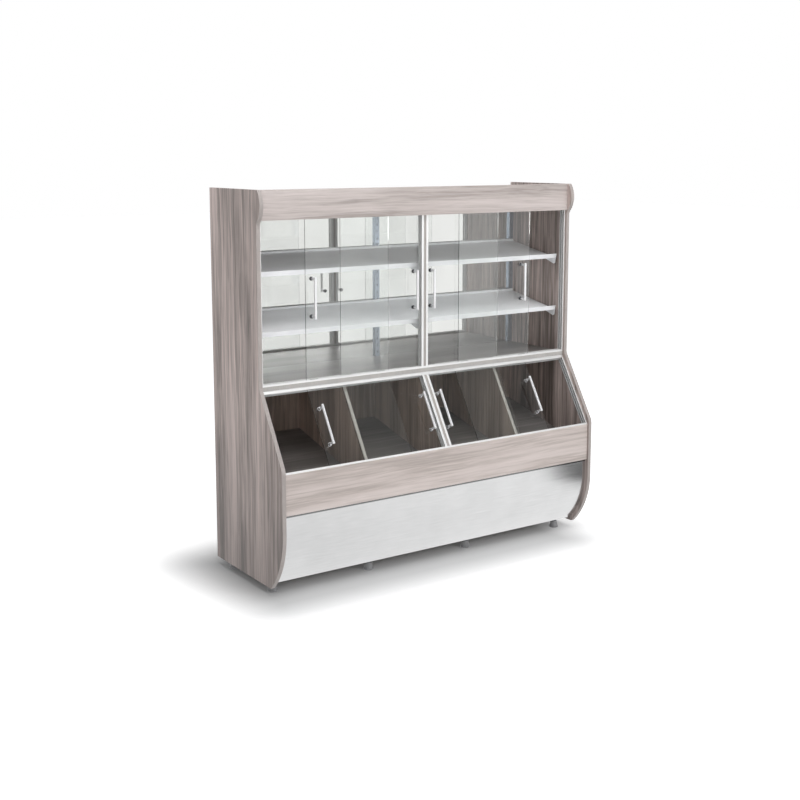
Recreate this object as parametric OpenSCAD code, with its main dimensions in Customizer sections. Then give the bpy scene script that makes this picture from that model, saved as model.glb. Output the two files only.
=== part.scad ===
// Bread cabinet: a laminated board carcass with two shaped side panels, a mirrored
// display section with two tilted shelves above, four bread bins below, and eight
// sliding glass doors. The origin is on the floor at the middle of the footprint,
// +X to the right as seen from the front, -Y to the front and +Z up.

/* [Carcass] */
// Width over the two side panels
cabinet_w = 1760; // [1300:10:2300]
// Height from the floor to the top of the side panels
cabinet_h = 1750; // [1650:5:1900]
// Depth of the side panels at the belly, their deepest point
belly_d = 636; // [600:2:700]
// Depth of the side panels beside the display section
top_d = 442; // [420:2:470]
// Thickness of the side panels
panel_t = 18; // [15:1:25]
// Thickness of the boards between the side panels
board_t = 15; // [12:1:18]
// Clear height under the side panels
panel_lift = 35; // [25:1:60]
// Thickness of the strip glued on the front edge of a side panel
band_t = 1; // [0.5:0.25:2]

/* [Side panel outline] */
// Radius of the bulge at the top of the front edge
bulge_r = 105; // [90:1:130]
// How far the bulge stands proud of the straight front edge
bulge_out = 33; // [15:1:45]
// Drop from the panel's top to the middle of the bulge
bulge_drop = 65; // [50:1:80]
// Radius where the bulge runs into the straight edge
bulge_fillet_r = 30; // [15:1:60]
// Height at which the sloping edge starts
slope_top_h = 899; // [860:1:940]
// Height at which the sloping edge meets the belly
slope_low_h = 580; // [550:1:620]
// Radius of the hollow corner above the slope
step_r = 40; // [20:5:100]
// Radius of the rounded corner at the belly
belly_r = 60; // [40:5:140]
// Radius of the long curve that runs under the belly
under_r = 365; // [340:5:420]
// Height at which that curve starts
under_h = 300; // [260:5:330]

/* [Header and top] */
// Height of the header board
header_h = 130; // [90:5:180]
// Distance of the header's face from the middle of the bulge
header_in = 29; // [20:1:40]

/* [Back] */
// Thickness of the rear board
rear_t = 6; // [4:1:10]
// Distance of the rear board from the panels' rear edge
rear_in = 3; // [2.5:0.5:8]
// Thickness of the mirror
mirror_t = 4; // [3:1:6]
// Diameter of the rear screws
screw_d = 4; // [3:0.5:5]
// Length of the rear screws
screw_len = 24; // [18:1:40]
// Number of screws in each row
screw_count = 5; // [3:1:9]

/* [Deck and bins] */
// Height of the deck's upper face above the top of the sloping edge
deck_up = 5; // [0:1:10]
// Height of the grey strip that covers the deck's front edge
cap_h = 18; // [16:1:24]
// Thickness of that strip
cap_t = 2; // [2:0.5:4]
// Height of the sloping frame's lower front corner
sill_h = 560; // [545:1:580]
// Distance of the lower front board's face from the belly
front_in = 9; // [4:1:16]
// Height of the lower front board's lower edge
front_low_h = 380; // [350:5:400]
// Slope of the bin floor, down to the front
floor_tilt = 14; // [8:1:16]
// Height of the bin floor's underside at the front board
floor_front_h = 430; // [415:1:460]
// Thickness of the bin floor
floor_t = 12; // [9:1:18]
// Distance of the dividers' sloping edge from the side panels' sloping edge
divider_in = 51; // [50:1:70]
// Thickness of the strip on the dividers' sloping edge
trim_t = 2; // [1:0.5:3]
// Height of the cleats that carry the bin floor
cleat_h = 30; // [20:1:45]

/* [Base] */
// Height of the base board's underside
base_h = 54; // [50:1:75]
// Distance of the base board's front edge behind the kick sheet's lower edge
base_in = 11.35; // [6:0.05:16]
// Distance of the kick sheet from the side panels' front edge
kick_in = 20; // [12:1:30]
// Thickness of the kick sheet
kick_t = 1.5; // [1:0.25:3]
// Height of the shadow gap between the front board and the kick sheet
kick_gap = 4; // [2:0.5:8]
// Width of the kick sheet's folded flanges
kick_flange = 24; // [16:1:34]
// Diameter of a foot
foot_dia = 45; // [35:1:60]
// Height of a foot's pad
foot_pad_h = 34; // [20:1:34]
// Diameter of a foot's stud
stud_d = 10; // [8:1:14]
// Distance of the first and the last foot from the cabinet's sides, left and right
foot_end_in = [38, 87];
// Places of the two feet between them, as shares of the width from the middle
foot_mid_share = [-0.193, 0.126];
// Distance of the front row of feet behind the base board's front edge
foot_front_in = 36; // [25:1:60]
// Depth of the rear row of feet
foot_rear_d = 97; // [70:1:160]
// Side of the square plate above each foot
foot_plate_w = 38; // [36:1:70]
// Thickness of that plate
foot_plate_t = 4; // [3:1:6]

/* [Shelves] */
// Slope of the shelves, down to the front
shelf_tilt = 11; // [4:1:14]
// Depth of the shelves' front lip, from the rear of the cabinet
shelf_d = 375; // [330:1:385]
// Height of the front lip
lip_h = 22; // [12:1:35]
// Height of the turned-up rear edge
shelf_back_h = 12; // [6:1:20]
// Thickness of the shelf sheet
shelf_t = 1.5; // [1:0.25:3]
// Clearance between a shelf's end and the side panel
shelf_gap = 6; // [3:1:12]
// Width of a slotted standard
standard_w = 25; // [20:1:32]
// Depth of a slotted standard
standard_d = 12; // [10:1:16]
// Wall of a slotted standard
standard_t = 1.5; // [1:0.25:2]
// Height of the first slot above the deck
slot_first = 24; // [20:1:30]
// Distance between slots
slot_pitch = 33; // [28:1:36]
// Height of a slot
slot_h = 14; // [12:1:18]
// Width of a slot
slot_w = 4; // [3.5:0.25:6]
// Slot, counted from below, that holds the middle shelf's brackets
middle_slot = 7; // [5:1:8]
// Slot, counted from below, that holds the upper shelf's brackets
upper_slot = 15; // [13:1:16]
// Distance from a shelf's underside down to the upper slot of its brackets
hook_drop = 20; // [16:1:24]
// Thickness of a bracket
bracket_t = 2.5; // [2:0.25:3]
// Height of a bracket's arm at its neck
bracket_neck_h = 19; // [12:1:26]
// Height of a bracket at its tip
bracket_tip_h = 30; // [22:1:34]
// Distance of a bracket's neck from the shelf's front lip
bracket_neck_in = 80; // [50:1:110]
// Thickness of the nose that holds the lip from the front
bracket_nose = 5; // [3:0.5:8]
// Height of the nose above the shelf's underside
bracket_nose_h = 7; // [4:0.5:12]

/* [Door frames] */
// Depth of the aluminium profiles, front to rear
frame_d = 30; // [30:1:34]
// Wall of the profiles
frame_wall = 2; // [1.5:0.25:2]
// Width of the grooves that the doors run in
groove_w = 10; // [9:0.5:11]
// Depth of the grooves in the lower tracks
lip_depth = 6; // [5:0.5:6.5]
// Height of the upright frame's lower track
low_track_h = 9.5; // [8.5:0.5:14]
// Height of the upright frame's upper track
top_track_h = 18; // [16:1:28]
// Height of the sloping frame's lower track
slope_low_track_h = 9; // [8:0.5:14]
// Height of the sloping frame's upper track
slope_top_track_h = 16; // [15:1:20]
// Width of the jambs on the side panels
jamb_w = 8; // [7.5:0.5:12]
// Depth of the grooves in the jambs and the mullions
jamb_groove = 6; // [5.5:0.5:6.5]
// Width of the mullions
mullion_w = 37; // [32:1:50]
// Width of the recess along a mullion's face
mullion_recess_w = 13; // [10:1:15]
// Depth of the recess along a mullion's face
mullion_recess = 2; // [1:0.5:4]
// Distance of the sloping frame's face from the side panels' sloping edge
slope_in = 19; // [16:1:20]
// Height by which the header hides the upright frame's upper track
track_hide = 2; // [0:0.5:6]

/* [Doors] */
// Thickness of the door glass
glass_t = 4; // [4:1:6]
// Overlap of two closed doors in the middle of an opening
door_overlap = 24; // [20:1:80]
// How far a closed door's edge stands inside its jamb or mullion
door_entry = 5; // [3:0.5:5]
// How far the outer doors stand open: upper left, upper right, lower left, lower right
door_open = [223, 223, 223, 245];
// Clearance between a door's shoes and its track
door_gap = 0.3; // [0.2:0.05:0.5]
// Clear height above a door's glass, so that the door lifts out of its lower track
lift_gap = 7; // [6.5:0.5:8]
// Length of a door shoe
shoe_len = 40; // [20:1:80]
// Height of the shoes under a door
shoe_h = 5.5; // [4.5:0.5:5.5]
// Height of the shoes on top of a door
shoe_top_h = 5; // [4:0.5:5]
// Thickness of a lower shoe under the glass
shoe_floor = 2; // [1:0.5:3]
// Thickness of an upper shoe over the glass
shoe_roof = 1; // [0.5:0.25:1]

/* [Door handles] */
// Length of a handle bar
handle_len = 185; // [140:2:260]
// Diameter of a handle bar
handle_d = 12; // [10:1:14]
// Clear space between a handle bar and its glass
handle_gap = 32; // [24:1:45]
// Distance of a handle post from the end of its bar
post_in = 9; // [8:1:30]
// Diameter of a handle post
post_d = 14; // [10:1:16]
// Diameter of the foot of a handle post
post_foot_d = 18; // [14:1:28]
// Thickness of the foot of a handle post
post_foot_t = 3; // [2:0.5:5]
// Diameter of the screw through the glass
handle_screw_d = 6; // [4:0.5:7]
// Diameter of that screw's head
screw_head_d = 12; // [9:1:14]
// Thickness of that screw's head
screw_head_t = 2.5; // [2:0.5:3]
// Diameter of the hole in the glass
glass_hole_d = 8; // [7:0.5:10]
// Distance of the upper doors' handles from the edge that closes, from left to right
upper_handle_edge = [28, 40, 30, 57];
// The same for the lower doors
lower_handle_edge = [30, 38, 30, 36];
// Height of an upper door's handle above the deck, to the middle of the bar
upper_handle_h = 373; // [250:1:500]
// Distance of a lower door's handle up the sloping frame, to the middle of the bar
lower_handle_h = 187; // [130:1:230]

/* [Hidden] */
$fn = 64;

// The rear edge of the side panels, and half the clear width between them
rear_y = belly_d / 2;
inner_w = cabinet_w - 2 * panel_t;
half_in = inner_w / 2;

// Height of the deck's upper face, the floor of the display section
deck_h = slope_top_h + deck_up;

// The side panel's sloping edge, as an angle from the vertical
slant = atan((belly_d - top_d) / (slope_top_h - slope_low_h));
bulge_d = top_d + bulge_out - bulge_r;
bulge_h = cabinet_h - bulge_drop;
under_d = belly_d - under_r;
arc_step = 3;

// Depth of the header's face, and of the upper door frame behind it
header_d = top_d + bulge_out - header_in;
upper_frame_d = header_d - board_t;
header_low_h = cabinet_h - header_h;

// Depths from the rear: inner face of the rear board, then of the mirror
rear_face_d = rear_in + rear_t;
mirror_face_d = rear_face_d + mirror_t;
standard_face_d = mirror_face_d + standard_d;
standard_xs = [-half_in + standard_w / 2, 0, half_in - standard_w / 2];
shelf_reach = (shelf_d - standard_face_d) / cos(shelf_tilt);

// Distance of the outer screws of a row from the side panels
screw_margin = 60;

// Clearance for pieces that hook or drop into each other, and for a glued seat
fit_gap = 0.3;
seat_gap = 0.1;

// Places of the feet across the cabinet
foot_xs = [
    foot_end_in[0] - cabinet_w / 2,
    foot_mid_share[0] * cabinet_w,
    foot_mid_share[1] * cabinet_w,
    cabinet_w / 2 - foot_end_in[1]
];

// The transom: deck, its edge strip and the top of the sloping frame
deck_under_h = deck_h - board_t;
cap_d = upper_frame_d;
deck_d = cap_d - cap_t;
slope_frame_top_h = deck_h - cap_h;
slope_frame_h = (slope_frame_top_h - sill_h) / cos(slant);
sill_d = slope_depth(sill_h, slope_in);
upper_frame_h = header_low_h + track_hide - deck_h + top_track_h;
top_board_h = deck_h + upper_frame_h;

// The bins
front_d = belly_d - front_in;
front_rear_d = front_d - board_t;
rail_rear_d = front_rear_d - board_t;

// The kick sheet: its face, the radius of its curve and its lower edge
kick_top_h = front_low_h - kick_gap;
kick_face_d = belly_d - kick_in;
kick_r = under_r - kick_in;
kick_low_h = base_h - kick_t;
kick_low_d = under_d + sqrt(pow(kick_r, 2) - pow(under_h - kick_low_h, 2));

// The base board's front edge and the front row of feet behind it
base_d = kick_low_d - base_in;
foot_front_d = base_d - foot_front_in;

// Places of the dividers across the cabinet
divider_xs = [-half_in / 2, 0, half_in / 2];

// The two tracks in a frame profile, as distances of their middles from its face
front_groove = frame_wall + groove_w / 2;
rear_groove = frame_d - front_groove;

// Width of every door, and the places of a closed door's middle in the right-hand half
door_w = (half_in - jamb_w - mullion_w / 2 + 2 * door_entry + door_overlap) / 2;
outer_x = half_in - jamb_w + door_entry - door_w / 2;
inner_x = mullion_w / 2 - door_entry + door_w / 2;

// Distance of a handle bar's middle from the face of its glass
bar_out = handle_gap + handle_d / 2;

laminate = [0.60, 0.55, 0.52];
laminate_pale = [0.74, 0.70, 0.67];
aluminium = [0.80, 0.81, 0.82];
sheet_white = [0.88, 0.89, 0.90];
zinc = [0.68, 0.70, 0.73];

// Depth, from the rear, of the side panel's sloping edge at a height, moved in by inset
function slope_depth(h, inset) =
    top_d + (slope_top_h - h) * tan(slant) - inset / cos(slant);

// Height of the same line at a depth
function slope_height(d, inset) =
    slope_top_h - (d + inset / cos(slant) - top_d) / tan(slant);

// Height of the bin floor's underside at a depth
function floor_under(d) = floor_front_h + (front_rear_d - d) * tan(floor_tilt);

// Height of the bin floor's upper face at a depth
function floor_top(d) = floor_under(d) + floor_t / cos(floor_tilt);

// Height of a slot in the standards
function slot_z(k) = deck_h + slot_first + k * slot_pitch;

// Height of a shelf's underside at the standards' face
function shelf_root(k) = slot_z(k) + hook_drop;

// Places of the rear screws across the cabinet
function screw_x(i) = (i / (screw_count - 1) - 0.5) * (inner_w - 2 * screw_margin);

// Extrudes a side view, drawn as depth from the rear against height, along X
module run(x0, len) {
    translate([x0 + len, rear_y, 0])
        rotate([90, 0, -90])
            linear_extrude(len)
                children();
}

// A board with a rectangular section that spans the cabinet between the side panels
module cross_board(d0, d1, h0, h1, span = inner_w) {
    run(-span / 2, span)
        translate([d0, h0])
            square([d1 - d0, h1 - h0]);
}

// A row of small cylinders along Y for the screws in one board's rear edge
module screw_row(h, d0, d1, dia) {
    for (i = [0 : screw_count - 1])
        translate([screw_x(i), rear_y - d0, h])
            rotate([90, 0, 0])
                cylinder(d = dia, h = d1 - d0);
}

// Origin at the lower front edge of the upper door frame: +Y inwards, +Z up the frame
module on_upper_frame() {
    translate([0, rear_y - upper_frame_d, deck_h])
        children();
}

// The same for the sloping frame
module on_lower_frame() {
    translate([0, rear_y - sill_d, sill_h])
        rotate([-slant, 0, 0])
            children();
}

// Points on a circle from one angle to another
function arc(centre, r, from, to) =
    let (n = ceil(abs(to - from) / arc_step))
    [
        for (i = [0 : n])
            let (a = from + (to - from) * i / n)
            centre + r * [cos(a), sin(a)]
    ];

// The side panels' front edge, moved in by inset, from the bottom to the top
function front_edge(inset) =
    let (
        under_r2 = under_r - inset,
        bulge_r2 = bulge_r - inset,
        fillet = [
            top_d + bulge_fillet_r,
            bulge_h - sqrt(
                pow(bulge_r + bulge_fillet_r, 2) - pow(top_d + bulge_fillet_r - bulge_d, 2)
            )
        ],
        turn = atan2(bulge_h - fillet[1], bulge_d - fillet[0])
    )
    concat(
        arc([under_d, under_h], under_r2, -asin((under_h - panel_lift) / under_r2), 0),
        arc(
            [belly_d - belly_r, slope_low_h - belly_r * tan(slant / 2)],
            belly_r - inset,
            0,
            slant
        ),
        arc(
            [top_d + step_r, slope_top_h + step_r * tan(slant / 2)],
            step_r + inset,
            180 + slant,
            180
        ),
        arc(fillet, bulge_fillet_r + inset, 180, turn),
        arc(
            [bulge_d, bulge_h],
            bulge_r2,
            turn - 180,
            asin((cabinet_h - bulge_h) / bulge_r2)
        )
    );

// A side panel whose outer or inner face is at x0
module side_panel(x0) {
    color(laminate)
        run(x0, panel_t)
            polygon(concat(
                [[0, panel_lift]],
                front_edge(band_t),
                [[0, cabinet_h]]
            ));
}

module left_side_panel() {
    side_panel(-cabinet_w / 2);
}

module right_side_panel() {
    side_panel(half_in);
}

module panel_edge_bands() {
    outer = front_edge(0);
    inner = front_edge(band_t);
    color(laminate_pale)
        for (x0 = [-cabinet_w / 2, half_in])
            run(x0, panel_t)
                polygon(concat(outer, [for (i = [len(inner) - 1 : -1 : 0]) inner[i]]));
}

module top_board() {
    color(laminate)
        difference() {
            cross_board(rear_face_d, upper_frame_d, top_board_h, top_board_h + board_t);
            screw_row(top_board_h + board_t / 2, 0, screw_len + rear_in, screw_d);
        }
}

module header_board() {
    color(laminate_pale)
        cross_board(upper_frame_d, header_d, header_low_h, cabinet_h);
}

module rear_board() {
    color(laminate)
        difference() {
            cross_board(rear_in, rear_face_d, base_h, top_board_h + board_t);
            for (h = [top_board_h, deck_under_h, base_h])
                screw_row(h + board_t / 2, 0, screw_len, screw_d);
        }
}

module back_mirror() {
    color([0.86, 0.90, 0.91])
        cross_board(rear_face_d, mirror_face_d, deck_h, top_board_h);
}

module deck_board() {
    color(laminate)
        difference() {
            cross_board(rear_face_d, deck_d, deck_under_h, deck_h);
            screw_row(deck_under_h + board_t / 2, 0, screw_len + rear_in, screw_d);
        }
}

module deck_edge_cap() {
    color(laminate)
        cross_board(deck_d, cap_d, slope_frame_top_h, deck_h);
}

// Wedge under the deck that carries the top of the sloping frame
module transom_rail() {
    top_d0 = slope_depth(slope_frame_top_h, slope_in);
    rail_d0 = top_d0 - frame_d * cos(slant);
    seat_h = slope_frame_top_h + seat_gap;
    color(aluminium)
        run(-half_in, inner_w)
            polygon([
                [rail_d0, deck_under_h],
                [deck_d, deck_under_h],
                [deck_d, seat_h - (top_d0 - deck_d) * tan(slant)],
                [rail_d0, seat_h - (top_d0 - rail_d0) * tan(slant)]
            ]);
}

// Side view of a bin divider with its sloping edge moved in
module divider_shape(inset) {
    polygon([
        [rear_face_d, floor_top(rear_face_d)],
        [rear_face_d, deck_under_h],
        [slope_depth(deck_under_h, inset), deck_under_h],
        [front_rear_d, slope_height(front_rear_d, inset)],
        [front_rear_d, floor_top(front_rear_d)]
    ]);
}

module divider(x) {
    color(laminate)
        run(x - board_t / 2, board_t)
            divider_shape(divider_in + trim_t);
}

module left_divider() {
    divider(divider_xs[0]);
}

module centre_divider() {
    divider(divider_xs[1]);
}

module right_divider() {
    divider(divider_xs[2]);
}

module divider_edge_trims() {
    color(laminate_pale)
        for (x = divider_xs)
            run(x - board_t / 2, board_t)
                difference() {
                    divider_shape(divider_in);
                    divider_shape(divider_in + trim_t);
                }
}

module bin_floor() {
    color(laminate)
        run(-half_in, inner_w)
            polygon([
                [rear_face_d, floor_under(rear_face_d)],
                [rear_face_d, floor_top(rear_face_d)],
                [front_rear_d, floor_top(front_rear_d)],
                [front_rear_d, floor_under(front_rear_d)]
            ]);
}

// Battens under the bin floor, along the side panels and along the rear board
module bin_floor_cleats() {
    side_d0 = rear_face_d + board_t + 1;
    side_d1 = rail_rear_d - 1;
    color([0.76, 0.66, 0.50]) {
        for (x0 = [-half_in, half_in - board_t])
            run(x0, board_t)
                polygon([
                    [side_d0, floor_under(side_d0)],
                    [side_d1, floor_under(side_d1)],
                    [side_d1, floor_under(side_d1) - cleat_h],
                    [side_d0, floor_under(side_d0) - cleat_h]
                ]);
        run(-half_in, inner_w)
            polygon([
                [rear_face_d, floor_under(rear_face_d)],
                [rear_face_d + board_t, floor_under(rear_face_d + board_t)],
                [rear_face_d + board_t, floor_under(rear_face_d + board_t) - cleat_h],
                [rear_face_d, floor_under(rear_face_d + board_t) - cleat_h]
            ]);
    }
}

// The front board's upper edge is bevelled to seat the sloping frame's lower track
module lower_front_board() {
    color(laminate_pale)
        run(-half_in, inner_w)
            polygon([
                [front_rear_d, front_low_h],
                [front_d, front_low_h],
                [front_d, sill_h + (front_d - sill_d) * tan(slant)],
                [front_rear_d, sill_h - (sill_d - front_rear_d) * tan(slant)]
            ]);
}

module front_support_rail() {
    color([0.76, 0.66, 0.50])
        run(-half_in, inner_w)
            polygon([
                [rail_rear_d, kick_top_h],
                [front_rear_d, kick_top_h],
                [front_rear_d, floor_under(front_rear_d)],
                [rail_rear_d, floor_under(rail_rear_d)]
            ]);
}

// One bent sheet: a flange under the front board, a flat, the long curve and a lower flange
module kick_sheet() {
    color(sheet_white)
        run(-half_in + fit_gap, inner_w - 2 * fit_gap)
            union() {
                intersection() {
                    difference() {
                        translate([under_d, under_h])
                            circle(kick_r, $fn = 360);
                        translate([under_d, under_h])
                            circle(kick_r - kick_t, $fn = 360);
                    }
                    translate([under_d, kick_low_h])
                        square([under_r, under_h - kick_low_h]);
                }
                translate([kick_face_d - kick_t, under_h])
                    square([kick_t, kick_top_h - under_h]);
                translate([kick_face_d - kick_flange, kick_top_h - kick_t])
                    square([kick_flange, kick_t]);
                translate([kick_low_d - kick_flange - kick_t, kick_low_h])
                    square([kick_flange, kick_t]);
            }
}

module base_board() {
    color(laminate)
        difference() {
            cross_board(rear_face_d, base_d, base_h, base_h + board_t);
            screw_row(base_h + board_t / 2, 0, screw_len + rear_in, screw_d);
            for (x = foot_xs, d = [foot_front_d, foot_rear_d])
                translate([x, rear_y - d, base_h - 1])
                    cylinder(d = stud_d + 2, h = board_t + 2);
        }
}

// A channel with its open side against the mirror and slots in its face
module shelf_standards() {
    len = top_board_h - deck_h;
    slots = floor((len - 2 * slot_first) / slot_pitch);
    color(zinc)
        for (x = standard_xs)
            translate([x - standard_w / 2, rear_y - standard_face_d, deck_h])
                difference() {
                    cube([standard_w, standard_d, len]);
                    translate([standard_t, standard_t, -1])
                        cube([standard_w - 2 * standard_t, standard_d, len + 2]);
                    for (k = [0 : slots])
                        translate([
                            (standard_w - slot_w) / 2,
                            -1,
                            slot_first + k * slot_pitch - slot_h / 2
                        ])
                            cube([slot_w, standard_t + 2, slot_h]);
                }
}

// A bent tray: the sheet, a turned-up front lip with a hem, and a turned-up rear edge
module shelf(k) {
    back = 8;
    hem = 5;
    color(sheet_white)
        run(-half_in + shelf_gap, inner_w - 2 * shelf_gap)
            translate([standard_face_d, shelf_root(k)])
                rotate(-shelf_tilt)
                    union() {
                        translate([back, 0])
                            square([shelf_reach - back, shelf_t]);
                        translate([shelf_reach - shelf_t, 0])
                            square([shelf_t, lip_h]);
                        translate([shelf_reach - 2 * shelf_t, lip_h - hem])
                            square([shelf_t, hem]);
                        translate([back, 0])
                            square([shelf_t, shelf_back_h]);
                    }
}

module upper_shelf() {
    shelf(upper_slot);
}

module middle_shelf() {
    shelf(middle_slot);
}

// Side view of a bracket, from the standards' face: a root plate, an arm that narrows to
// its neck, a deeper tip with a nose before the shelf's lip, and two hooks
module bracket_shape() {
    plate_w = 14;
    root_h = 43;
    root_len = 24;
    hook_t = 3;
    plate_low = -hook_drop - slot_pitch - slot_h;
    behind = standard_t + fit_gap;
    neck_x = shelf_reach - bracket_neck_in;
    tip_x = shelf_reach + bracket_nose;
    translate([fit_gap, plate_low])
        square([plate_w, root_h]);
    intersection() {
        translate([fit_gap, -shelf_reach])
            square([tip_x, 2 * shelf_reach]);
        rotate(-shelf_tilt)
            polygon([
                [-root_len, -fit_gap],
                [-root_len, -root_h],
                [root_len, -root_h],
                [neck_x, -bracket_neck_h],
                [shelf_reach - bracket_nose, -bracket_tip_h],
                [tip_x, -bracket_tip_h + bracket_nose],
                [tip_x, bracket_nose_h],
                [shelf_reach + fit_gap, bracket_nose_h],
                [shelf_reach + fit_gap, -fit_gap]
            ]);
    }
    for (z = [-hook_drop, -hook_drop - slot_pitch]) {
        translate([-behind - hook_t, z - slot_h / 2 + 1])
            square([behind + hook_t + 1, slot_h / 2 + 3]);
        translate([-behind - hook_t, z - slot_h / 2 - 4])
            square([hook_t, slot_h]);
    }
}

module brackets(k) {
    color(sheet_white)
        for (x = standard_xs)
            run(x - bracket_t / 2, bracket_t)
                translate([standard_face_d, shelf_root(k)])
                    bracket_shape();
}

module upper_shelf_brackets() {
    brackets(upper_slot);
}

module middle_shelf_brackets() {
    brackets(middle_slot);
}

// Height of a frame, of its lower and upper tracks and of the floor its doors run on
function frame_height(upper) = upper ? upper_frame_h : slope_frame_h;

function foot_h(upper) = upper ? low_track_h : slope_low_track_h;

function head_h(upper) = upper ? top_track_h : slope_top_track_h;

function floor_h(upper) = foot_h(upper) - lip_depth;

// Section of a two-groove profile: face at 0, back at -frame_d, height h, with a
// solid or hollow bed of height bed under the grooves
module groove_section(h, bed) {
    web = frame_d - 2 * frame_wall - 2 * groove_w;
    difference() {
        translate([-frame_d, 0])
            square([frame_d, h]);
        for (g = [front_groove, rear_groove])
            translate([-g - groove_w / 2, bed])
                square([groove_w, h]);
        if (bed > 2 * frame_wall + 1)
            translate([frame_wall - frame_d, frame_wall])
                square([frame_d - 2 * frame_wall, bed - 2 * frame_wall]);
        translate([-(frame_d + web) / 2 + frame_wall, bed])
            square([web - 2 * frame_wall, h]);
    }
}

module upper_bottom_track() {
    color(aluminium)
        run(-half_in, inner_w)
            translate([upper_frame_d, deck_h])
                groove_section(foot_h(true), floor_h(true));
}

module upper_top_track() {
    color(aluminium)
        run(-half_in, inner_w)
            translate([upper_frame_d, deck_h + upper_frame_h])
                mirror([0, 1])
                    groove_section(head_h(true), frame_wall);
}

module lower_bottom_track() {
    color(aluminium)
        run(-half_in, inner_w)
            translate([sill_d, sill_h])
                rotate(slant)
                    groove_section(foot_h(false), floor_h(false));
}

module lower_top_track() {
    color(aluminium)
        run(-half_in, inner_w)
            translate([sill_d, sill_h])
                rotate(slant)
                    translate([0, slope_frame_h])
                        mirror([0, 1])
                            groove_section(head_h(false), frame_wall);
}

// Plan section of a jamb that stands on the right-hand side panel
module jamb_section() {
    bed = jamb_w - jamb_groove;
    translate([half_in, 0])
        rotate(90)
            mirror([1, 0])
                groove_section(jamb_w, bed);
}

// The jambs or the mullion of a frame, between its tracks
module between_tracks(upper) {
    translate([0, 0, foot_h(upper)])
        linear_extrude(frame_height(upper) - foot_h(upper) - head_h(upper))
            children();
}

module jamb_pair(upper) {
    color(aluminium)
        between_tracks(upper)
            for (side = [0, 1])
                mirror([side, 0])
                    jamb_section();
}

module upper_jambs() {
    on_upper_frame()
        jamb_pair(true);
}

module lower_jambs() {
    on_lower_frame()
        jamb_pair(false);
}

// Plan section of a mullion: a hollow post with a recessed face and grooves on both sides
module mullion_section() {
    post = mullion_w - 2 * jamb_groove;
    groove_x = mullion_w / 2 - jamb_groove;
    difference() {
        translate([-mullion_w / 2, 0])
            square([mullion_w, frame_d]);
        translate([-mullion_recess_w / 2, -1])
            square([mullion_recess_w, mullion_recess + 1]);
        translate([frame_wall - post / 2, mullion_recess + frame_wall])
            square([post - 2 * frame_wall, frame_d - mullion_recess - 2 * frame_wall]);
        for (side = [0, 1], g = [front_groove, rear_groove])
            mirror([side, 0])
                translate([groove_x, g - groove_w / 2])
                    square([jamb_groove + 1, groove_w]);
    }
}

module mullion(upper) {
    color(aluminium)
        between_tracks(upper)
            mullion_section();
}

module upper_mullion() {
    on_upper_frame()
        mullion(true);
}

module lower_mullion() {
    on_lower_frame()
        mullion(false);
}

module levelling_feet() {
    color([0.52, 0.53, 0.54])
        for (x = foot_xs, d = [foot_front_d, foot_rear_d])
            translate([x, rear_y - d, 0]) {
                cylinder(d = foot_dia, h = foot_pad_h / 3);
                translate([0, 0, foot_pad_h / 3])
                    cylinder(d1 = foot_dia, d2 = 0.7 * foot_dia, h = foot_pad_h * 2 / 3);
                cylinder(d = stud_d, h = base_h + board_t);
            }
}

module foot_plates() {
    color(zinc)
        for (x = foot_xs, d = [foot_front_d, foot_rear_d])
            translate([x, rear_y - d, base_h - foot_plate_t])
                difference() {
                    translate([-foot_plate_w / 2, -foot_plate_w / 2, 0])
                        cube([foot_plate_w, foot_plate_w, foot_plate_t]);
                    translate([0, 0, -1])
                        cylinder(d = stud_d, h = foot_plate_t + 2);
                }
}

module rear_screws() {
    head_h = rear_in - 0.5;
    color(zinc)
        for (h = [top_board_h, deck_under_h, base_h]) {
            screw_row(h + board_t / 2, rear_in, screw_len, screw_d);
            screw_row(h + board_t / 2, rear_in - head_h, rear_in, 2 * screw_d);
        }
}

// Places a door's piece: on the upper or the lower frame, in the left or the right half
module on_door(upper, right, outer) {
    open = door_open[(upper ? 0 : 2) + (right ? 1 : 0)];
    x = (right ? 1 : -1) * (outer ? outer_x - open : inner_x);
    groove = outer ? front_groove : rear_groove;
    if (upper)
        on_upper_frame()
            translate([x, groove - glass_t / 2, 0])
                children();
    else
        on_lower_frame()
            translate([x, groove - glass_t / 2, 0])
                children();
}

// Height of a door's glass above the frame's foot, and its length
function door_bottom(upper) = floor_h(upper) + door_gap + shoe_floor;

function glass_h(upper) =
    frame_height(upper) - frame_wall - lift_gap - door_bottom(upper);

// Side of a door, -1 or 1, that carries the handle: the edge that closes
function handle_side(right, outer) = (right == outer) ? 1 : -1;

// Height of the middle of a handle above the frame's foot
function handle_mid(upper) = upper ? upper_handle_h : lower_handle_h;

// Height of the two handle posts above the frame's foot
function post_heights(upper) = [
    for (s = [-1, 1])
        handle_mid(upper) + s * (handle_len / 2 - post_in)
];

// Distance of a handle bar's middle from the middle of its door, across the cabinet
function handle_x(upper, right, outer) =
    let (
        i = right ? (outer ? 3 : 2) : (outer ? 0 : 1),
        edge = upper ? upper_handle_edge[i] : lower_handle_edge[i]
    )
    handle_side(right, outer) * (door_w / 2 - edge);

module door_glass(upper, right, outer) {
    color([0.80, 0.90, 0.88, 0.35])
        on_door(upper, right, outer)
            difference() {
                translate([-door_w / 2, 0, door_bottom(upper)])
                    cube([door_w, glass_t, glass_h(upper)]);
                for (z = post_heights(upper))
                    translate([handle_x(upper, right, outer), -1, z])
                        rotate([-90, 0, 0])
                            cylinder(d = glass_hole_d, h = glass_t + 2);
            }
}

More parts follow.
